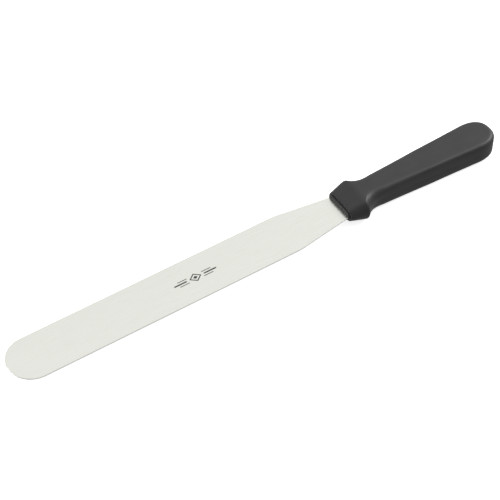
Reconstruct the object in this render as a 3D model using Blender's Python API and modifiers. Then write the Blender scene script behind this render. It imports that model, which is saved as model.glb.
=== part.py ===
"""Straight icing spatula: a thin steel blade with a hidden tang, and a handle moulded around the tang.

Frame: metres, +Z up, +X from the blade's tip to the handle's butt, +Y across the blade.
The tool lies flat: Z = 0 is the plane under the handle, X = 0 is halfway along the tool, and Y = 0 is
its plane of symmetry. Both pieces are drawn from the point where the blade's middle leaves the collar.
"""

import math

import bmesh
import bpy

MM = 0.001

# Blade, measured from the collar's front face towards the tip
BLADE_LENGTH = 254 * MM
BLADE_WIDTH = 35 * MM
BLADE_THICKNESS = 0.9 * MM
EDGE_ROUND = 0.2 * MM
TAPER_LENGTH = 42.5 * MM
TAPER_BLEND = 2.8 * MM
WIDTH_AT_COLLAR = 22.5 * MM
TIP_SEGMENTS = 56

# Tang, hidden in the handle and measured from the collar's front face towards the butt
SHOULDER_END = 9 * MM
TANG_START = 20 * MM
TANG_END = 92 * MM
TANG_WIDTH = 12 * MM
LOCK_HOLES = (34 * MM, 56 * MM, 78 * MM)
LOCK_HOLE_DIAMETER = 6 * MM
SLOT_GAP = 0.3 * MM

# Handle: half widths and half heights at the stations where its shape changes
HANDLE_LENGTH = 130 * MM
NOSE_LENGTH = 1.4 * MM
NOSE_STEP = 1.6 * MM
FRONT_HALF_WIDTH = 13.6 * MM
FRONT_HALF_HEIGHT = 5.2 * MM
COLLAR_PEAK = 14.5 * MM
COLLAR_HALF_WIDTH = 16.9 * MM
COLLAR_HALF_HEIGHT = 8.8 * MM
SADDLE = 20 * MM
NECK = 32 * MM
NECK_HALF_WIDTH = 9.7 * MM
NECK_SWEEP = 3.1
GRIP_HALF_HEIGHT = 8.8 * MM
BUTT_START = 110 * MM
BUTT_HALF_WIDTH = 13.2 * MM
BUTT_POWER = 2.3
GRIP_HOLLOW = 0.5

# The section's corners: (how far it reaches in from the side, how far it drops from the top, and how flat
# it is, from 1 for a round corner to 2 for a plain chamfer)
FRONT_CORNER = (5.0 * MM, 5.1 * MM, 1.2)
COLLAR_CORNER = (6.3 * MM, 8.2 * MM, 1.2)
SADDLE_CORNER = (6.8 * MM, 6.8 * MM, 1.0)
NECK_CORNER = (4.2 * MM, 4.2 * MM, 1.0)
GRIP_CORNER = (2.6 * MM, 2.6 * MM, 1.0)
BUTT_CORNER = (3.4 * MM, 3.4 * MM, 1.0)
CORNER_SEGMENTS = 7

TOOL_LENGTH = BLADE_LENGTH + HANDLE_LENGTH
COLLAR_X = BLADE_LENGTH - TOOL_LENGTH / 2


def clear_scene():
    for item in list(bpy.data.objects):
        bpy.data.objects.remove(item, do_unlink=True)


def new_collection(name):
    collection = bpy.data.collections.new(name)
    bpy.context.scene.collection.children.link(collection)
    return collection


def principled(name, colour, roughness, metallic):
    material = bpy.data.materials.new(name)
    material.use_nodes = True
    shader = material.node_tree.nodes["Principled BSDF"]
    shader.inputs["Base Color"].default_value = (*colour, 1.0)
    shader.inputs["Roughness"].default_value = roughness
    shader.inputs["Metallic"].default_value = metallic
    return material


def between(x, start, end):
    """How far x is from start to end, held between 0 and 1."""
    return min(max((x - start) / (end - start), 0.0), 1.0)


def mix(a, b, t):
    return a + (b - a) * t


# ---------------------------------------------------------------- blade and tang


def taper_half_width(x):
    """Half the blade's width from the taper's corner to the shoulder's end inside the collar."""
    slope = (BLADE_WIDTH - WIDTH_AT_COLLAR) / 2 / TAPER_LENGTH
    past_corner = x + TAPER_LENGTH
    if past_corner < TAPER_BLEND:
        eased = max(past_corner + TAPER_BLEND, 0.0) ** 2 / (4 * TAPER_BLEND)
        return BLADE_WIDTH / 2 - slope * eased
    return BLADE_WIDTH / 2 - slope * past_corner


def tang_side(gap=0.0):
    """The +Y side of the shoulder and tang, from the taper to the tang's round end."""
    points = [(x, taper_half_width(x) + gap) for x in (-2 * MM, SHOULDER_END)]
    steps = 6
    for i in range(1, steps + 1):
        t = i / steps
        ease = t * t * (3 - 2 * t)
        width = mix(taper_half_width(SHOULDER_END), TANG_WIDTH / 2, ease)
        points.append((mix(SHOULDER_END, TANG_START, t), width + gap))
    radius = TANG_WIDTH / 2
    for i in range(9):
        angle = math.pi / 2 * i / 8
        x = TANG_END - radius + (radius + gap) * math.sin(angle)
        points.append((x, (radius + gap) * math.cos(angle)))
    return points


def blade_side():
    """The +Y side of the blade, from the tip's middle to just outside the collar."""
    radius = BLADE_WIDTH / 2
    points = []
    for i in range(TIP_SEGMENTS // 2 + 1):
        angle = math.pi * i / TIP_SEGMENTS
        points.append((-BLADE_LENGTH + radius * (1 - math.cos(angle)), radius * math.sin(angle)))
    steps = 6
    for i in range(steps + 1):
        x = -TAPER_LENGTH + TAPER_BLEND * (2 * i / steps - 1)
        points.append((x, taper_half_width(x)))
    return points


def closed_outline(side):
    """A side with +Y points and its mirror image, as one loop with no point doubled on the axis."""
    other = [(x, -y) for x, y in reversed(side) if y > 1e-7]
    return [(x, max(y, 0.0)) for x, y in side] + other


def circle(centre_x, radius, segments=24):
    turn = 2 * math.pi / segments
    return [
        (centre_x + radius * math.cos(turn * i), radius * math.sin(turn * i)) for i in range(segments)
    ]


def flat_curve(name, loops, thickness, edge):
    """A filled flat outline, the later loops being holes in the first, with eased edges."""
    curve = bpy.data.curves.new(name, "CURVE")
    curve.dimensions = "2D"
    curve.fill_mode = "BOTH"
    curve.extrude = thickness / 2 - edge
    curve.bevel_depth = edge
    curve.bevel_resolution = 1
    curve.offset = -edge
    for loop in loops:
        spline = curve.splines.new("POLY")
        spline.points.add(len(loop) - 1)
        for point, (x, y) in zip(spline.points, loop):
            point.co = (x, y, 0.0, 1.0)
        spline.use_cyclic_u = True
    return bpy.data.objects.new(name, curve)


def make_blade(parts, axis):
    outline = closed_outline(blade_side() + tang_side())
    holes = [circle(x, LOCK_HOLE_DIAMETER / 2) for x in LOCK_HOLES]
    blade = flat_curve("blade", [outline, *holes], BLADE_THICKNESS, EDGE_ROUND)
    parts.objects.link(blade)
    blade.parent = axis
    blade.data.materials.append(principled("polished_steel", (0.78, 0.78, 0.77), 0.25, 1.0))
    return blade


# ---------------------------------------------------------------- handle


def grip_half_width(x):
    """Half the grip's width, hollowed slightly between the neck and the butt."""
    t = (x - NECK) / (BUTT_START - NECK)
    return mix(NECK_HALF_WIDTH, BUTT_HALF_WIDTH, t - GRIP_HOLLOW * t * (1 - t))


def half_width(x):
    if x <= COLLAR_PEAK:
        return mix(FRONT_HALF_WIDTH, COLLAR_HALF_WIDTH, between(x, NOSE_LENGTH, COLLAR_PEAK))
    if x <= NECK:
        t = between(x, COLLAR_PEAK, NECK)
        return mix(NECK_HALF_WIDTH, COLLAR_HALF_WIDTH, (1 - t) ** NECK_SWEEP)
    u = between(x, BUTT_START, HANDLE_LENGTH)
    return grip_half_width(x) * (1 - u**BUTT_POWER) ** (1 / BUTT_POWER)


def half_height(x):
    if x <= COLLAR_PEAK:
        return mix(FRONT_HALF_HEIGHT, COLLAR_HALF_HEIGHT, between(x, NOSE_LENGTH, COLLAR_PEAK))
    return mix(COLLAR_HALF_HEIGHT, GRIP_HALF_HEIGHT, between(x, COLLAR_PEAK, NECK))


def corner(x):
    """How far the corner reaches in from the side, how far it drops from the top, and how flat it is."""
    places = (NOSE_LENGTH, COLLAR_PEAK, SADDLE, NECK, (NECK + BUTT_START) / 2, BUTT_START)
    sizes = (FRONT_CORNER, COLLAR_CORNER, SADDLE_CORNER, NECK_CORNER, GRIP_CORNER, BUTT_CORNER)
    for i in range(1, len(places)):
        if x <= places[i]:
            t = between(x, places[i - 1], places[i])
            return [mix(a, b, t) for a, b in zip(sizes[i - 1], sizes[i])]
    return list(sizes[-1])


def handle_stations():
    """Places along the handle behind its nose, closest where its outline turns fastest."""
    flare = [mix(NOSE_LENGTH, COLLAR_PEAK, i / 4) for i in range(5)]
    neck = [mix(COLLAR_PEAK, NECK, i / 8) for i in range(1, 9)]
    grip = [mix(NECK, BUTT_START, i / 14) for i in range(1, 15)]
    butt_length = HANDLE_LENGTH - BUTT_START
    butt = [BUTT_START + butt_length * math.sin(math.pi / 2 * i / 12) for i in range(1, 13)]
    return flare + neck + grip + butt


def outward(x):
    """The direction, in plan, in which the handle's side faces. Ahead of the butt it is +Y."""
    if x <= BUTT_START:
        return 0.0, 1.0
    if x >= HANDLE_LENGTH - 1e-6:
        return 1.0, 0.0
    step = min(0.05 * MM, (HANDLE_LENGTH - x) / 2)
    slope = (half_width(x + step) - half_width(x - step)) / (2 * step)
    length = math.hypot(slope, 1.0)
    return -slope / length, 1.0 / length


def side_profile(x, inset=0.0):
    """The +Y half of the section at x, from the flat underside round the side to the flat top."""
    width, height = half_width(x) - inset, half_height(x) - inset
    reach, drop, flatness = corner(x)
    reach, drop = reach - inset, drop - inset
    out_x, out_y = outward(x)
    points = []
    for side in (-1, 1):
        for i in range(CORNER_SEGMENTS + 1):
            turn = math.pi / 2 * i / CORNER_SEGMENTS
            angle = math.pi / 2 - turn if side < 0 else turn
            inward = reach * (1 - abs(math.cos(angle)) ** flatness)
            z = side * (height - drop + drop * math.sin(angle) ** flatness)
            points.append((x - out_x * inward, max(width - out_y * inward, 0.0), z))
    return points


def nose_profiles():
    """The two ends of the small stepped nose, which is the section behind it pulled in all round."""
    behind = side_profile(NOSE_LENGTH, NOSE_STEP)
    return [[(0.0, y, z) for _, y, z in behind], behind]


def loft_half_handle():
    """The +Y half of the handle, open at the plane of symmetry."""
    mesh = bpy.data.meshes.new("handle")
    bm = bmesh.new()
    rows = []
    for profile in nose_profiles() + [side_profile(x) for x in handle_stations()]:
        low, high = profile[0], profile[-1]
        row = [(low[0], 0.0, low[2]), *profile, (high[0], 0.0, high[2])]
        rows.append([bm.verts.new(point) for point in row])
    for row, following in zip(rows, rows[1:]):
        for i in range(len(row) - 1):
            bm.faces.new((row[i], following[i], following[i + 1], row[i + 1]))
    bm.faces.new(rows[0])
    bmesh.ops.remove_doubles(bm, verts=bm.verts, dist=1e-6)
    bmesh.ops.recalc_face_normals(bm, faces=bm.faces)
    bm.to_mesh(mesh)
    bm.free()
    return mesh


def closed_slot():
    """The slot's outline, which starts ahead of the collar so that the cut opens its front face."""
    side = tang_side(SLOT_GAP)
    return side + [(x, -y) for x, y in reversed(side) if y > 1e-7]


def make_slot_cutter(cutters, axis):
    """The space that the shoulder and tang take, with posts left to pass through the lock holes."""
    outline = closed_slot()
    posts = [circle(x, LOCK_HOLE_DIAMETER / 2 - SLOT_GAP) for x in LOCK_HOLES]
    curve = flat_curve("slot_outline", [outline, *posts], BLADE_THICKNESS + 2 * SLOT_GAP, 0.0)
    cutters.objects.link(curve)
    evaluated = curve.evaluated_get(bpy.context.evaluated_depsgraph_get())
    mesh = bpy.data.meshes.new_from_object(evaluated)
    bm = bmesh.new()
    bm.from_mesh(mesh)
    bmesh.ops.remove_doubles(bm, verts=bm.verts, dist=1e-6)
    bm.to_mesh(mesh)
    bm.free()
    cutter = bpy.data.objects.new("slot_cutter", mesh)
    cutters.objects.link(cutter)
    bpy.data.objects.remove(curve)
    cutter.parent = axis
    cutter.hide_render = True
    cutter.display_type = "WIRE"
    return cutter


def make_handle(parts, cutters, axis):
    handle = bpy.data.objects.new("handle", loft_half_handle())
    parts.objects.link(handle)
    handle.parent = axis
    mirror = handle.modifiers.new("both_sides", "MIRROR")
    mirror.use_axis = (False, True, False)
    mirror.merge_threshold = 1e-6
    slot = handle.modifiers.new("tang_slot", "BOOLEAN")
    slot.operation = "DIFFERENCE"
    slot.solver = "EXACT"
    slot.object = make_slot_cutter(cutters, axis)
    handle.data.materials.append(principled("black_polypropylene", (0.035, 0.035, 0.036), 0.42, 0.0))
    handle.data.shade_smooth()
    handle.data.set_sharp_from_angle(angle=math.radians(30))
    return handle


def main():
    clear_scene()
    parts = new_collection("bakery_spatula")
    cutters = new_collection("cutters")
    axis = bpy.data.objects.new("collar_front", None)
    parts.objects.link(axis)
    axis.location = (COLLAR_X, 0.0, GRIP_HALF_HEIGHT)
    make_blade(parts, axis)
    make_handle(parts, cutters, axis)


main()
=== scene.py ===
"""The looks of a straight icing spatula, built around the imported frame.

A satin steel blade carries a small printed mark, and a moulded black handle closes tightly
round its shoulder. Lengths are in metres. Shapes are drawn from the middle of the handle's
front face, where the blade leaves it, with x towards the butt.
"""

import math

import bmesh
import bpy
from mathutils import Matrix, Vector


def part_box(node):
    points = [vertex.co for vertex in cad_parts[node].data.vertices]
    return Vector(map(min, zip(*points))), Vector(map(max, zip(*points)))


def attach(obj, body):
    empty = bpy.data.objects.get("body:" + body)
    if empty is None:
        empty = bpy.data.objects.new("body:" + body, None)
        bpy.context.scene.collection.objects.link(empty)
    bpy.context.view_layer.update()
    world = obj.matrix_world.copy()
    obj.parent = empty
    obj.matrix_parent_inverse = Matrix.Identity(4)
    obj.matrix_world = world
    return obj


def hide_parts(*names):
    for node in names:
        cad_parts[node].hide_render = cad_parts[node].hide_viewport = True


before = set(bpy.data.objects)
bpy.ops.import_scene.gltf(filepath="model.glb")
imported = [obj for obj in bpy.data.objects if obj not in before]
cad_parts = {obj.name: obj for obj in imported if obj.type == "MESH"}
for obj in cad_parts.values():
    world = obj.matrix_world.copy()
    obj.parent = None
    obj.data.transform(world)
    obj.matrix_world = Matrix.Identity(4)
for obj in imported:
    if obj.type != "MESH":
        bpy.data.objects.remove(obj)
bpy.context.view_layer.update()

MM = 0.001

# ---------------------------------------------------------------- places, all read from the frame

blade_low, blade_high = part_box("blade")
handle_low, handle_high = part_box("handle")
COLLAR_X = handle_low.x
MIDDLE_Z = (blade_low.z + blade_high.z) / 2
FLOOR_Z = handle_low.z
TOOL_MIDDLE = Vector(((blade_low.x + handle_high.x) / 2, 0.0, MIDDLE_Z))
COLLAR_FRONT = Vector((COLLAR_X, 0.0, MIDDLE_Z))

# ---------------------------------------------------------------- dimensions

BLADE_LENGTH = COLLAR_X - blade_low.x
BLADE_WIDTH = blade_high.y - blade_low.y
BLADE_THICKNESS = blade_high.z - blade_low.z
BLADE_EDGE = 0.16 * MM
TAPER_LENGTH = 42.5 * MM
TAPER_BLEND = 2.8 * MM
WIDTH_AT_COLLAR = 22.5 * MM
TIP_SEGMENTS = 120
TAPER_BLEND_SEGMENTS = 12

SHOULDER_END = 9 * MM
TANG_START = 20 * MM
TANG_END = blade_high.x - COLLAR_X
TANG_WIDTH = 12 * MM
SHOULDER_STEPS = 10
TANG_END_SEGMENTS = 12
LOCK_HOLES = (34 * MM, 56 * MM, 78 * MM)
LOCK_HOLE_DIAMETER = 6 * MM
LOCK_HOLE_SEGMENTS = 48

HANDLE_LENGTH = handle_high.x - handle_low.x
GRIP_HALF_HEIGHT = (handle_high.z - handle_low.z) / 2
COLLAR_HALF_WIDTH = 16.9 * MM
NOSE_LENGTH = 1.4 * MM
NOSE_STEP = 1.6 * MM
NOSE_ROUND = 0.25 * MM
FRONT_ROUND = 0.2 * MM
FRONT_HALF_WIDTH = 13.6 * MM
FRONT_HALF_HEIGHT = 5.2 * MM
COLLAR_PEAK = 14.5 * MM
PEAK_REACH = 2 * MM
PEAK_ROUND = 0.7 * MM
SHOULDER_ROUND = 2.0 * MM
SADDLE = 20 * MM
NECK = 32 * MM
NECK_HALF_WIDTH = 9.7 * MM
NECK_SWEEP = 3.1
BUTT_START = 110 * MM
BUTT_HALF_WIDTH = 13.2 * MM
BUTT_POWER = 2.3
GRIP_HOLLOW = 0.5
CROWN = 0.22 * MM
CROWN_START = COLLAR_PEAK - 4 * MM

# The corners of the handle's section: how far each reaches in from the side, how far it drops
# from the top, and how flat it is, from 1 for a round corner to 2 for a plain chamfer.
FRONT_CORNER = (5.0 * MM, 5.1 * MM, 1.2)
COLLAR_CORNER = (6.3 * MM, 8.2 * MM, 1.2)
SADDLE_CORNER = (6.8 * MM, 6.8 * MM, 1.0)
NECK_CORNER = (4.2 * MM, 4.2 * MM, 1.0)
GRIP_CORNER = (2.6 * MM, 2.6 * MM, 1.0)
BUTT_CORNER = (3.4 * MM, 3.4 * MM, 1.0)

# The tang's pocket narrows to a tight lip where the blade leaves the nose.
LIP_GAP = 0.05 * MM
LIP_ROUND = 0.28 * MM
LIP_DEPTH = 1.6 * MM
LIP_ROUND_SEGMENTS = 3
POCKET_GAP = 0.28 * MM
POCKET_START = 2.4 * MM
POCKET_END_SEGMENTS = 8
POCKET_CORNER = 0.6

PARTING_DEPTH = 0.02 * MM
PARTING_HALF_WIDTH = 0.10 * MM
PARTING_FADE = 0.4 * MM

# How finely the handle's section and length are divided. The section's rows are shares of its
# straight side, and the nose's row is a share of its length.
FLAT_STEPS = 6
CORNER_STEPS = 8
EDGE_ROUND_STEPS = 4
SIDE_ROWS = (0.6, 0.3)
PARTING_ROW = 0.2
NOSE_ROW = 0.6
FLARE_STEPS = 8
PEAK_STEPS = 16
NECK_STEPS = 16
GRIP_STEPS = 30
BUTT_STEPS = 26
SHARP_ANGLE = math.radians(50)

# Corners of the first size aren't rubbed or lightened at all, and those of the second size or less
# fully. The lighter colour is partly real rubbing and partly a painted highlight along the ridges.
WEAR_AND_SHEEN_CORNERS = (8 * MM, 2 * MM)

# The printed mark: nested diamonds (half length, half width), and bars repeated on both sides
# (near end, far end, y, half width). A bar's points are as long as BAR_POINT half widths.
MARK_X = -115 * MM
MARK_THICKNESS = 0.022 * MM
MARK_EDGE = 0.006 * MM
MARK_CLEARANCE = 0.001 * MM
MARK_DIAMONDS_MM = ((4.6, 3.6), (3.4, 2.6), (1.7, 1.3))
BAR_POINT = 1.5
MARK_BARS_MM = ((6.2, 16.5, 0.0, 0.55), (5.4, 13.0, 2.0, 0.28), (5.4, 13.0, -2.0, 0.28))

# ---------------------------------------------------------------- camera and light settings

CAMERA_TURN = math.radians(-32.94)
CAMERA_ELEVATION = math.radians(48.81)
CAMERA_DISTANCE = 1.1824
CAMERA_AIM = TOOL_MIDDLE + Vector((-0.57 * MM, 14.75 * MM, -18.94 * MM))
CAMERA_LENS = 124.69

# The world's strength, and where it changes: by the cosine of the angle from the bright way,
# and by the height of the direction above the horizon.
WORLD_BRIGHT_WAY = (0.68, 0.30, 0.64)
WORLD_BRIGHT = 1.0
WORLD_DIM = 0.36
WORLD_BELOW = 0.46
WORLD_SPREAD = (0.3, 0.9)
WORLD_HORIZON = (-0.3, 0.05)

# Each softbox: its direction from the tool, its distance, its two sides and its power in watts.
SOFTBOXES = {
    "right_softbox": ((0.82, 0.02, 0.62), 1.7, (0.8, 0.8), 13.0),
    "left_softbox": ((-0.90, 0.35, 0.22), 1.6, (0.7, 0.7), 14.0),
    "overhead_softbox": ((-0.1, 0.15, 1.0), 1.8, (1.6, 1.6), 2.0),
}

FLOOR_SIZE = 8.0
FLOOR_CLEARANCE = 0.2 * MM
FLOOR_GLOW = 0.75

# ---------------------------------------------------------------- finishes

STEEL_DEEP = (0.750, 0.755, 0.700)
STEEL_BRIGHT = (0.792, 0.797, 0.746)
STEEL_HANDLED = (0.70, 0.70, 0.66)
# Painted highlight: the lighter colour given to the blade's upright rim, so that the edge does not
# show dark.
STEEL_RIM_PAINTED_HIGHLIGHT = (0.93, 0.93, 0.92)
STEEL_GRAIN_DEPTH = 0.004 * MM
STEEL_SCRATCH_DEPTH = 0.006 * MM
RIM_ROUGHNESS_ADDED = 0.2

PLASTIC_DEEP = (0.019, 0.019, 0.019)
PLASTIC_PALE = (0.026, 0.026, 0.027)
# Lighter colour for tight corners: partly real rubbing, partly a painted highlight along the
# ridges.
PLASTIC_RUBBED_AND_LIT = (0.042, 0.042, 0.042)
PLASTIC_GRAIN_DEPTH = 0.012 * MM
RUBBED_ROUGHNESS_LOST = 0.07

INK_FULL = (0.030, 0.030, 0.032)
INK_THIN = (0.16, 0.16, 0.16)
INK_GRAIN_DEPTH = 0.004 * MM


# ---------------------------------------------------------------- the camera and the studio


def look_from(turn, elevation):
    """The unit vector from what is looked at towards the viewer."""
    flat = math.cos(elevation)
    return Vector((math.sin(turn) * flat, -math.cos(turn) * flat, math.sin(elevation)))


def aimed(item, place, target):
    """item, put into the scene at place and facing target."""
    item.location = place
    item.rotation_euler = (target - place).to_track_quat("-Z", "Y").to_euler()
    bpy.context.scene.collection.objects.link(item)
    return item


def make_camera():
    data = bpy.data.cameras.new("camera")
    data.sensor_width = 36.0
    data.lens = CAMERA_LENS
    data.clip_start = 0.01
    data.clip_end = 20.0
    place = CAMERA_AIM + look_from(CAMERA_TURN, CAMERA_ELEVATION) * CAMERA_DISTANCE
    camera = aimed(bpy.data.objects.new("camera", data), place, CAMERA_AIM)
    bpy.context.scene.camera = camera


def make_softbox(name, direction, distance, size, power):
    data = bpy.data.lights.new(name, "AREA")
    data.shape = "RECTANGLE"
    data.size, data.size_y = size
    data.energy = power
    place = TOOL_MIDDLE + Vector(direction).normalized() * distance
    return aimed(bpy.data.objects.new(name, data), place, TOOL_MIDDLE)


def make_world():
    """A pale studio, brightest above and to the right, with its own level below the table."""
    world = bpy.data.worlds.new("studio")
    world.use_nodes = True
    nodes, links = world.node_tree.nodes, world.node_tree.links
    way = nodes.new("ShaderNodeTexCoord").outputs["Generated"]
    facing = nodes.new("ShaderNodeVectorMath")
    facing.operation = "DOT_PRODUCT"
    facing.inputs[1].default_value = Vector(WORLD_BRIGHT_WAY).normalized()
    links.new(way, facing.inputs[0])
    split = nodes.new("ShaderNodeSeparateXYZ")
    links.new(way, split.inputs[0])
    above = nodes.new("ShaderNodeMapRange")
    above.interpolation_type = "SMOOTHSTEP"
    above.inputs["From Min"].default_value = WORLD_SPREAD[0]
    above.inputs["From Max"].default_value = WORLD_SPREAD[1]
    above.inputs["To Min"].default_value = WORLD_DIM
    above.inputs["To Max"].default_value = WORLD_BRIGHT
    links.new(facing.outputs["Value"], above.inputs["Value"])
    horizon = nodes.new("ShaderNodeMapRange")
    horizon.interpolation_type = "SMOOTHSTEP"
    horizon.inputs["From Min"].default_value = WORLD_HORIZON[0]
    horizon.inputs["From Max"].default_value = WORLD_HORIZON[1]
    links.new(split.outputs["Z"], horizon.inputs["Value"])
    level = nodes.new("ShaderNodeMix")
    level.inputs["A"].default_value = WORLD_BELOW
    links.new(above.outputs["Result"], level.inputs["B"])
    links.new(horizon.outputs["Result"], level.inputs["Factor"])
    nodes["Background"].inputs["Color"].default_value = (1.0, 1.0, 1.0, 1.0)
    links.new(level.outputs["Result"], nodes["Background"].inputs["Strength"])
    bpy.context.scene.world = world


def make_floor():
    """A glowing pale floor, which the camera sees but which adds no light to the tool."""
    bpy.ops.mesh.primitive_plane_add(
        size=FLOOR_SIZE, location=(0.0, 0.0, FLOOR_Z - FLOOR_CLEARANCE)
    )
    floor = bpy.context.active_object
    floor.name = "floor"
    floor.visible_glossy = False
    floor.visible_diffuse = False
    material = bpy.data.materials.new("pale_floor")
    material.use_nodes = True
    shader = material.node_tree.nodes["Principled BSDF"]
    shader.inputs["Base Color"].default_value = (0.9, 0.9, 0.9, 1.0)
    shader.inputs["Roughness"].default_value = 0.9
    shader.inputs["Specular IOR Level"].default_value = 0.0
    shader.inputs["Emission Color"].default_value = (1.0, 1.0, 1.0, 1.0)
    shader.inputs["Emission Strength"].default_value = FLOOR_GLOW
    floor.data.materials.append(material)


# ---------------------------------------------------------------- shapes shared by the pieces


def between(x, start, end):
    """How far x is from start to end, held between 0 and 1."""
    return min(max((x - start) / (end - start), 0.0), 1.0)


def mix(a, b, t):
    return a + (b - a) * t


def averaged(shape, x, reach):
    """shape's mean over reach each side of x, which rounds a crease in it."""
    steps = 8
    return sum(shape(x + reach * (2 * i / steps - 1)) for i in range(steps + 1)) / (steps + 1)


def circle(centre, radius, segments):
    turn = 2 * math.pi / segments
    return [
        (centre[0] + radius * math.cos(turn * i), centre[1] + radius * math.sin(turn * i))
        for i in range(segments)
    ]


def flat_piece(name, loops, thickness, edge):
    """A flat solid with eased edges. A loop inside another is a hole, and inside that an island."""
    curve = bpy.data.curves.new(name, "CURVE")
    curve.dimensions = "2D"
    curve.fill_mode = "BOTH"
    curve.extrude = thickness / 2 - edge
    curve.bevel_depth = edge
    curve.bevel_resolution = 3
    curve.offset = -edge
    for loop in loops:
        spline = curve.splines.new("POLY")
        spline.points.add(len(loop) - 1)
        for point, (x, y) in zip(spline.points, loop):
            point.co = (x, y, 0.0, 1.0)
        spline.use_cyclic_u = True
    drawn = bpy.data.objects.new(name + "_outline", curve)
    bpy.context.scene.collection.objects.link(drawn)
    evaluated = drawn.evaluated_get(bpy.context.evaluated_depsgraph_get())
    mesh = bpy.data.meshes.new_from_object(evaluated)
    bpy.data.objects.remove(drawn)
    bm = bmesh.new()
    bm.from_mesh(mesh)
    bmesh.ops.remove_doubles(bm, verts=bm.verts, dist=1e-6)
    bmesh.ops.dissolve_limit(bm, angle_limit=math.radians(0.1), verts=bm.verts, edges=bm.edges)
    for face in bm.faces:
        face.smooth = abs(face.normal.z) < 0.999
    bm.to_mesh(mesh)
    bm.free()
    mesh.name = name
    piece = bpy.data.objects.new(name, mesh)
    bpy.context.scene.collection.objects.link(piece)
    return piece


# ---------------------------------------------------------------- blade


def taper_half_width(x):
    """Half the blade's width from the taper's corner to the shoulder's end inside the collar."""
    slope = (BLADE_WIDTH - WIDTH_AT_COLLAR) / 2 / TAPER_LENGTH
    past_corner = x + TAPER_LENGTH
    if past_corner < TAPER_BLEND:
        bend = max(past_corner + TAPER_BLEND, 0.0) ** 2 / (4 * TAPER_BLEND)
        return BLADE_WIDTH / 2 - slope * bend
    return BLADE_WIDTH / 2 - slope * past_corner


def tang_half_width(x):
    """Half the width of the shoulder and tang, up to the tang's round end."""
    if x <= SHOULDER_END:
        return taper_half_width(x)
    t = between(x, SHOULDER_END, TANG_START)
    return mix(taper_half_width(SHOULDER_END), TANG_WIDTH / 2, t * t * (3 - 2 * t))


def blade_outline():
    """The blade and its tang in plan, from the middle of the tip round the +Y side and back."""
    radius = BLADE_WIDTH / 2
    side = []
    for i in range(TIP_SEGMENTS // 2 + 1):
        angle = math.pi * i / TIP_SEGMENTS
        side.append((-BLADE_LENGTH + radius * (1 - math.cos(angle)), radius * math.sin(angle)))
    for i in range(TAPER_BLEND_SEGMENTS + 1):
        x = -TAPER_LENGTH + TAPER_BLEND * (i / (TAPER_BLEND_SEGMENTS // 2) - 1)
        side.append((x, taper_half_width(x)))
    side.append((SHOULDER_END, tang_half_width(SHOULDER_END)))
    for i in range(1, SHOULDER_STEPS + 1):
        x = mix(SHOULDER_END, TANG_START, i / SHOULDER_STEPS)
        side.append((x, tang_half_width(x)))
    radius = TANG_WIDTH / 2
    for i in range(TANG_END_SEGMENTS + 1):
        angle = math.pi / 2 * i / TANG_END_SEGMENTS
        side.append((TANG_END - radius + radius * math.sin(angle), radius * math.cos(angle)))
    other = [(x, -y) for x, y in reversed(side) if y > 1e-7]
    return [(x, max(y, 0.0)) for x, y in side] + other


def make_blade():
    holes = [circle((x, 0.0), LOCK_HOLE_DIAMETER / 2, LOCK_HOLE_SEGMENTS) for x in LOCK_HOLES]
    blade = flat_piece("steel_blade", [blade_outline(), *holes], BLADE_THICKNESS, BLADE_EDGE)
    blade.location = COLLAR_FRONT
    blade.data.materials.append(satin_steel())
    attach(blade, "root")
    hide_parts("blade")


def bar(start, end, y, half_width):
    """A bar with pointed ends."""
    point = half_width * BAR_POINT
    return [
        (start, y),
        (start + point, y - half_width),
        (end - point, y - half_width),
        (end, y),
        (end - point, y + half_width),
        (start + point, y + half_width),
    ]


def diamond(half_length, half_width):
    return [(-half_length, 0.0), (0.0, -half_width), (half_length, 0.0), (0.0, half_width)]


def make_mark():
    """A plain printed device: a diamond between bars."""
    loops = [diamond(length * MM, width * MM) for length, width in MARK_DIAMONDS_MM]
    for side in (-1, 1):
        for near, far, y, bar_half_width in MARK_BARS_MM:
            start, end = sorted((side * near * MM, side * far * MM))
            loops.append(bar(start, end, y * MM, bar_half_width * MM))
    mark = flat_piece("printed_mark", loops, MARK_THICKNESS, MARK_EDGE)
    rise = (BLADE_THICKNESS + MARK_THICKNESS) / 2 + MARK_CLEARANCE
    mark.location = COLLAR_FRONT + Vector((MARK_X, 0.0, rise))
    mark.data.materials.append(printed_ink())
    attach(mark, "root")


# ---------------------------------------------------------------- handle


def eased(distance, radius):
    """How far an edge rounded to radius pulls the section in, at that distance behind the face."""
    if distance >= radius:
        return 0.0
    return radius - math.sqrt(radius**2 - (radius - distance) ** 2)


def grip_half_width(x):
    """Half the grip's width, hollowed slightly between the neck and the butt."""
    t = (x - NECK) / (BUTT_START - NECK)
    return mix(NECK_HALF_WIDTH, BUTT_HALF_WIDTH, t - GRIP_HOLLOW * t * (1 - t))


def plain_half_width(x):
    """Half the handle's width, before the collar's peak is rounded."""
    if x <= COLLAR_PEAK:
        return mix(FRONT_HALF_WIDTH, COLLAR_HALF_WIDTH, between(x, NOSE_LENGTH, COLLAR_PEAK))
    if x <= NECK:
        t = between(x, COLLAR_PEAK, NECK)
        return mix(NECK_HALF_WIDTH, COLLAR_HALF_WIDTH, (1 - t) ** NECK_SWEEP)
    u = between(x, BUTT_START, HANDLE_LENGTH)
    return grip_half_width(x) * (1 - u**BUTT_POWER) ** (1 / BUTT_POWER)


def plain_half_height(x):
    """Half the handle's height, before the collar's shoulder is rounded."""
    return mix(FRONT_HALF_HEIGHT, GRIP_HALF_HEIGHT, between(x, NOSE_LENGTH, COLLAR_PEAK))


def half_width(x):
    if abs(x - COLLAR_PEAK) < 4 * PEAK_ROUND:
        return averaged(plain_half_width, x, PEAK_ROUND)
    return plain_half_width(x)


def half_height(x):
    if abs(x - COLLAR_PEAK) < 2 * SHOULDER_ROUND:
        return averaged(plain_half_height, x, SHOULDER_ROUND)
    return plain_half_height(x)


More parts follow.
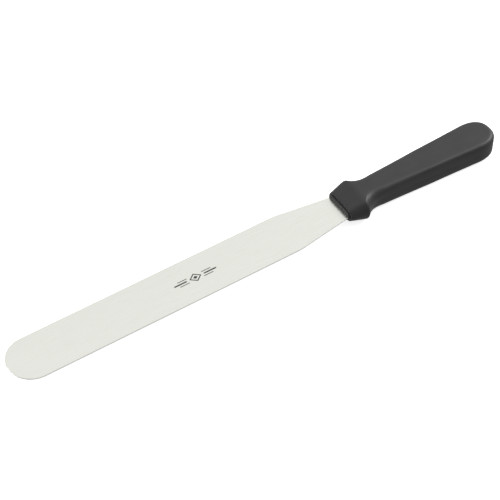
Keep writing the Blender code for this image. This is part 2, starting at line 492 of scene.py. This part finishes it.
def corner(x):
    """The section's corner at x: its reach, its drop and its flatness."""
    places = (NOSE_LENGTH, COLLAR_PEAK, SADDLE, NECK, (NECK + BUTT_START) / 2, BUTT_START)
    sizes = (FRONT_CORNER, COLLAR_CORNER, SADDLE_CORNER, NECK_CORNER, GRIP_CORNER, BUTT_CORNER)
    for i in range(1, len(places)):
        if x <= places[i]:
            t = between(x, places[i - 1], places[i])
            return [mix(a, b, t) for a, b in zip(sizes[i - 1], sizes[i])]
    return list(sizes[-1])


def outward(x):
    """The direction, in plan, in which the handle's side faces. Ahead of the butt it is +Y."""
    if x <= BUTT_START:
        return 0.0, 1.0
    if x >= HANDLE_LENGTH - 1e-7:
        return 1.0, 0.0
    step = min(0.05 * MM, (HANDLE_LENGTH - x) / 2)
    slope = (half_width(x + step) - half_width(x - step)) / (2 * step)
    length = math.hypot(slope, 1.0)
    return -slope / length, 1.0 / length


def half_ring(x, width, height, rounding, crown, groove, facing):
    """The +Y half of a closed section at x, from its bottom middle round to its top middle.

    Each entry is a point and its share of rubbing and painted highlight, which is greatest on tight
    corners. facing is the way the side faces in plan, and groove is the parting line's depth.
    """
    reach, drop, flatness = rounding
    out_x, out_y = facing
    edge_y = max(width - out_y * reach, 0.0)
    straight = max(height - drop - crown, 0.0)
    quarter = []
    for i in range(FLAT_STEPS):
        t = i / FLAT_STEPS
        quarter.append((x - out_x * reach, edge_y * t, height - crown * t * t, 0.0))
    for i in range(CORNER_STEPS + 1):
        angle = math.pi / 2 * (1 - i / CORNER_STEPS)
        inward = reach * (1 - abs(math.cos(angle)) ** flatness)
        z = min(straight + drop * math.sin(angle) ** flatness, height - crown)
        # This share also lightens the plastic's colour along tight ridges: a painted highlight as
        # well as real rubbing.
        wear_and_sheen = math.sin(2 * angle) * between(max(reach, drop), *WEAR_AND_SHEEN_CORNERS)
        quarter.append((x - out_x * inward, max(width - out_y * inward, 0.0), z, wear_and_sheen))
    for share in SIDE_ROWS:
        quarter.append((x, width, straight * share, 0.0))
    quarter.append((x, width, min(PARTING_HALF_WIDTH, straight * PARTING_ROW), 0.0))
    depth = groove * between(straight, 0.0, PARTING_FADE)
    middle = (x - out_x * depth, max(width - out_y * depth, 0.0), 0.0, 0.0)
    lower = [(px, py, -pz, wear_and_sheen) for px, py, pz, wear_and_sheen in quarter]
    return [*lower, middle, *reversed(quarter)]


def whole_ring(half):
    """A half section and its mirror image, as one loop of points."""
    other = [(x, -y, z, wear_and_sheen) for x, y, z, wear_and_sheen in reversed(half[1:-1])]
    return half + other


def pocket_rings():
    """The sections of the space round the tang, from its closed end out to the front face."""
    half_thickness = BLADE_THICKNESS / 2
    end = TANG_END + POCKET_GAP
    radius = TANG_WIDTH / 2 + POCKET_GAP
    rings = []
    for i in range(1, POCKET_END_SEGMENTS):
        angle = math.pi / 2 * i / POCKET_END_SEGMENTS
        rings.append((end - radius * (1 - math.sin(angle)), radius * math.cos(angle), POCKET_GAP))
    rings = sorted(rings, reverse=True)
    rings.append((end - radius, radius, POCKET_GAP))
    for i in range(SHOULDER_STEPS + 1):
        x = mix(TANG_START, SHOULDER_END, i / SHOULDER_STEPS)
        rings.append((x, tang_half_width(x) + POCKET_GAP, POCKET_GAP))
    for x, gap in ((POCKET_START, POCKET_GAP), (LIP_DEPTH, LIP_GAP), (LIP_ROUND, LIP_GAP)):
        rings.append((x, tang_half_width(x) + gap, gap))
    for i in range(1, LIP_ROUND_SEGMENTS + 1):
        angle = math.pi / 2 * i / LIP_ROUND_SEGMENTS
        x = LIP_ROUND * (1 - math.sin(angle))
        gap = LIP_GAP + LIP_ROUND * (1 - math.cos(angle))
        rings.append((x, tang_half_width(x) + gap, gap))
    sections = []
    for x, width, gap in rings:
        height = half_thickness + gap
        rounding = (height * POCKET_CORNER, height * POCKET_CORNER, 1.0)
        sections.append(half_ring(x, width, height, rounding, 0.0, 0.0, (0.0, 1.0)))
    return sections


def even_steps(start, end, count):
    """The ends of count equal steps from start to end."""
    return [mix(start, end, i / count) for i in range(1, count + 1)]


def round_places(radius):
    """Places behind a face at which an edge rounded to radius is cut, from 0 to radius."""
    turns = [math.pi / 2 * i / EDGE_ROUND_STEPS for i in range(EDGE_ROUND_STEPS + 1)]
    return [radius * (1 - math.cos(turn)) for turn in turns]


def outer_stations():
    """Places along the handle, closest where its outline turns fastest."""
    front = [NOSE_LENGTH + place for place in round_places(FRONT_ROUND)]
    peak_start, peak_end = COLLAR_PEAK - PEAK_REACH, COLLAR_PEAK + PEAK_REACH
    flare = even_steps(NOSE_LENGTH + FRONT_ROUND, peak_start, FLARE_STEPS)
    peak = even_steps(peak_start, peak_end, PEAK_STEPS)
    neck = even_steps(peak_end, NECK, NECK_STEPS)
    grip = even_steps(NECK, BUTT_START, GRIP_STEPS)
    turns = even_steps(0.0, math.pi / 2, BUTT_STEPS)
    butt = [mix(BUTT_START, HANDLE_LENGTH, math.sin(turn)) for turn in turns]
    return front + flare + peak + neck + grip + butt


def nose_rings():
    """The stepped nose: the collar's front section pulled in all round, with an eased edge."""
    width, height = half_width(NOSE_LENGTH) - NOSE_STEP, half_height(NOSE_LENGTH) - NOSE_STEP
    reach, drop, flatness = corner(NOSE_LENGTH)
    sections = []
    for x in (*round_places(NOSE_ROUND), NOSE_LENGTH * NOSE_ROW, NOSE_LENGTH):
        pull = eased(x, NOSE_ROUND)
        rounding = (reach - NOSE_STEP - pull, drop - NOSE_STEP - pull, flatness)
        sections.append(half_ring(x, width - pull, height - pull, rounding, 0.0, 0.0, (0.0, 1.0)))
    return sections


def outer_rings():
    """The handle's outside sections, from the nose's front face to the butt's end."""
    sections = nose_rings()
    for x in outer_stations():
        pull = eased(x - NOSE_LENGTH, FRONT_ROUND)
        width, height = half_width(x) - pull, half_height(x) - pull
        reach, drop, flatness = corner(x)
        rounding = (reach - pull, drop - pull, flatness)
        fullness = min(width / BUTT_HALF_WIDTH, 1.0)
        crown = CROWN * between(x, CROWN_START, NECK) * fullness**2
        groove = PARTING_DEPTH * between(x, NOSE_LENGTH, 2 * NOSE_LENGTH)
        sections.append(half_ring(x, width, height, rounding, crown, groove, outward(x)))
    return sections


def make_handle():
    """One closed skin: out along the pocket's wall, round the lip, and back over the outside."""
    mesh = bpy.data.meshes.new("moulded_handle")
    bm = bmesh.new()
    wear_and_sheen_layer = bm.verts.layers.float.new("wear_and_sheen")
    rings = []
    for section in [*pocket_rings(), *outer_rings()]:
        ring = []
        for x, y, z, wear_and_sheen in whole_ring(section):
            vertex = bm.verts.new((x, y, z))
            vertex[wear_and_sheen_layer] = wear_and_sheen
            ring.append(vertex)
        rings.append(ring)
    count = len(rings[0])
    for ring, following in zip(rings, rings[1:]):
        for i in range(count):
            j = (i + 1) % count
            bm.faces.new((ring[i], ring[j], following[j], following[i]))
    bm.faces.new(rings[0])
    bmesh.ops.remove_doubles(bm, verts=bm.verts, dist=2e-6)
    bmesh.ops.recalc_face_normals(bm, faces=bm.faces)
    for face in bm.faces:
        face.smooth = True
    bm.to_mesh(mesh)
    bm.free()
    mesh.set_sharp_from_angle(angle=SHARP_ANGLE)
    handle = bpy.data.objects.new("moulded_handle", mesh)
    bpy.context.scene.collection.objects.link(handle)
    handle.location = COLLAR_FRONT
    handle.data.materials.append(moulded_black())
    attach(handle, "root")
    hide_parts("handle")


# ---------------------------------------------------------------- materials


class Surface:
    """A Principled material and the few node moves that the three finishes share."""

    def __init__(self, name):
        self.material = bpy.data.materials.new(name)
        self.material.use_nodes = True
        self.nodes = self.material.node_tree.nodes
        self.links = self.material.node_tree.links
        self.shader = self.nodes["Principled BSDF"]
        coordinates = self.nodes.new("ShaderNodeTexCoord")
        self.place = coordinates.outputs["Object"]
        self.facing = coordinates.outputs["Normal"]

    def set(self, **values):
        for socket, value in values.items():
            self.shader.inputs[socket.replace("_", " ")].default_value = value

    def noise(self, stretch, scale, detail=3.0, rough=0.55):
        """Noise over the piece's own coordinates in metres, each axis multiplied by stretch."""
        mapping = self.nodes.new("ShaderNodeMapping")
        mapping.inputs["Scale"].default_value = stretch
        self.links.new(self.place, mapping.inputs["Vector"])
        noise = self.nodes.new("ShaderNodeTexNoise")
        noise.inputs["Scale"].default_value = scale
        noise.inputs["Detail"].default_value = detail
        noise.inputs["Roughness"].default_value = rough
        self.links.new(mapping.outputs["Vector"], noise.inputs["Vector"])
        return noise.outputs["Fac"]

    def ramp(self, value, source, target):
        """value's range source, turned into the range target."""
        node = self.nodes.new("ShaderNodeMapRange")
        node.inputs["From Min"].default_value = source[0]
        node.inputs["From Max"].default_value = source[1]
        node.inputs["To Min"].default_value = target[0]
        node.inputs["To Max"].default_value = target[1]
        self.links.new(value, node.inputs["Value"])
        return node.outputs["Result"]

    def combine(self, operation, a, b):
        node = self.nodes.new("ShaderNodeMath")
        node.operation = operation
        self.links.new(a, node.inputs[0])
        if isinstance(b, float):
            node.inputs[1].default_value = b
        else:
            self.links.new(b, node.inputs[1])
        return node.outputs[0]

    def blend(self, share, first, second):
        """A colour between two others. Either may be a socket."""
        node = self.nodes.new("ShaderNodeMix")
        node.data_type = "RGBA"
        self.links.new(share, node.inputs["Factor"])
        for socket, colour in ((node.inputs[6], first), (node.inputs[7], second)):
            if isinstance(colour, tuple):
                socket.default_value = (*colour, 1.0)
            else:
                self.links.new(colour, socket)
        return node.outputs[2]

    def upright(self):
        """1 on faces that stand upright, such as a sheet's cut rim, and 0 on level ones."""
        split = self.nodes.new("ShaderNodeSeparateXYZ")
        self.links.new(self.facing, split.inputs[0])
        level = self.nodes.new("ShaderNodeMath")
        level.operation = "ABSOLUTE"
        self.links.new(split.outputs["Z"], level.inputs[0])
        return self.ramp(level.outputs[0], (0.35, 0.85), (1.0, 0.0))

    def feed(self, socket, value):
        self.links.new(value, self.shader.inputs[socket])

    def bump(self, height, distance, strength=1.0, over=None):
        node = self.nodes.new("ShaderNodeBump")
        node.inputs["Distance"].default_value = distance
        node.inputs["Strength"].default_value = strength
        self.links.new(height, node.inputs["Height"])
        if over is not None:
            self.links.new(over, node.inputs["Normal"])
        return node.outputs["Normal"]


def satin_steel():
    """Stainless steel polished lengthwise, with fine grain, longer scratches and handling marks.

    The cut rim is ground less smooth than the faces, and its colour is painted lighter, a painted
    highlight that keeps it from showing as a dark line.
    """
    steel = Surface("satin_steel")
    steel.set(Metallic=1.0)
    grain = steel.noise((1.0, 90.0, 90.0), scale=60.0, detail=4.0, rough=0.6)
    scratch = steel.noise((1.0, 160.0, 160.0), scale=16.0, detail=2.0, rough=0.5)
    handled = steel.noise((1.0, 1.4, 1.0), scale=45.0)
    tone = steel.ramp(grain, (0.3, 0.7), (0.0, 1.0))
    colour = steel.blend(tone, STEEL_DEEP, STEEL_BRIGHT)
    smudge = steel.ramp(handled, (0.45, 0.75), (0.0, 0.12))
    lit_and_ground_rim = steel.upright()
    face = steel.blend(smudge, colour, STEEL_HANDLED)
    # Painted highlight: upright rim faces get a lighter colour, so the cut edge does not show as a
    # dark line.
    steel.feed("Base Color", steel.blend(lit_and_ground_rim, face, STEEL_RIM_PAINTED_HIGHLIGHT))
    polish = steel.ramp(grain, (0.25, 0.75), (0.24, 0.34))
    dulled = steel.combine("ADD", polish, steel.ramp(handled, (0.4, 0.8), (0.0, 0.07)))
    ground = steel.combine("MULTIPLY", lit_and_ground_rim, RIM_ROUGHNESS_ADDED)
    steel.feed("Roughness", steel.combine("ADD", dulled, ground))
    fine = steel.bump(grain, STEEL_GRAIN_DEPTH)
    furrow = steel.ramp(scratch, (0.68, 0.8), (0.0, -1.0))
    steel.feed("Normal", steel.bump(furrow, STEEL_SCRATCH_DEPTH, over=fine))
    return steel.material


def moulded_black():
    """Black polypropylene from an eroded mould, with fine grain rubbed smoother at the corners,
    whose colour is also painted lighter as a highlight.
    """
    plastic = Surface("moulded_black")
    wear_and_sheen = plastic.nodes.new("ShaderNodeAttribute")
    wear_and_sheen.attribute_name = "wear_and_sheen"
    worn_and_lit = wear_and_sheen.outputs["Fac"]
    grain = plastic.noise((1.0, 1.0, 1.0), scale=4200.0, detail=2.0)
    cloud = plastic.noise((1.0, 1.6, 1.6), scale=55.0)
    tone = plastic.ramp(cloud, (0.3, 0.7), (0.0, 1.0))
    colour = plastic.blend(tone, PLASTIC_DEEP, PLASTIC_PALE)
    rubbed_and_lit = plastic.combine("MULTIPLY", worn_and_lit, plastic.ramp(cloud, (0.3, 0.7), (0.3, 0.9)))
    # Painted highlight, partly real rubbing: the colour of tight corners is lightened.
    plastic.feed("Base Color", plastic.blend(rubbed_and_lit, colour, PLASTIC_RUBBED_AND_LIT))
    rough = plastic.ramp(grain, (0.3, 0.7), (0.40, 0.50))
    polished = plastic.combine("MULTIPLY", rubbed_and_lit, RUBBED_ROUGHNESS_LOST)
    plastic.feed("Roughness", plastic.combine("SUBTRACT", rough, polished))
    plastic.set(Specular_IOR_Level=0.46)
    plastic.feed("Normal", plastic.bump(grain, PLASTIC_GRAIN_DEPTH, strength=0.8))
    return plastic.material


def printed_ink():
    """Dark pad-printed ink, a little thin in places."""
    ink = Surface("printed_ink")
    thin = ink.noise((1.0, 1.0, 1.0), scale=2500.0)
    share = ink.ramp(thin, (0.55, 0.8), (0.0, 0.5))
    ink.feed("Base Color", ink.blend(share, INK_FULL, INK_THIN))
    ink.feed("Roughness", ink.ramp(thin, (0.3, 0.7), (0.45, 0.6)))
    ink.feed("Normal", ink.bump(thin, INK_GRAIN_DEPTH))
    return ink.material


# ---------------------------------------------------------------- the scene

bpy.context.scene.view_settings.view_transform = "Standard"
make_camera()
make_world()
for softbox_name, settings in SOFTBOXES.items():
    make_softbox(softbox_name, *settings)
make_floor()
make_blade()
make_mark()
make_handle()
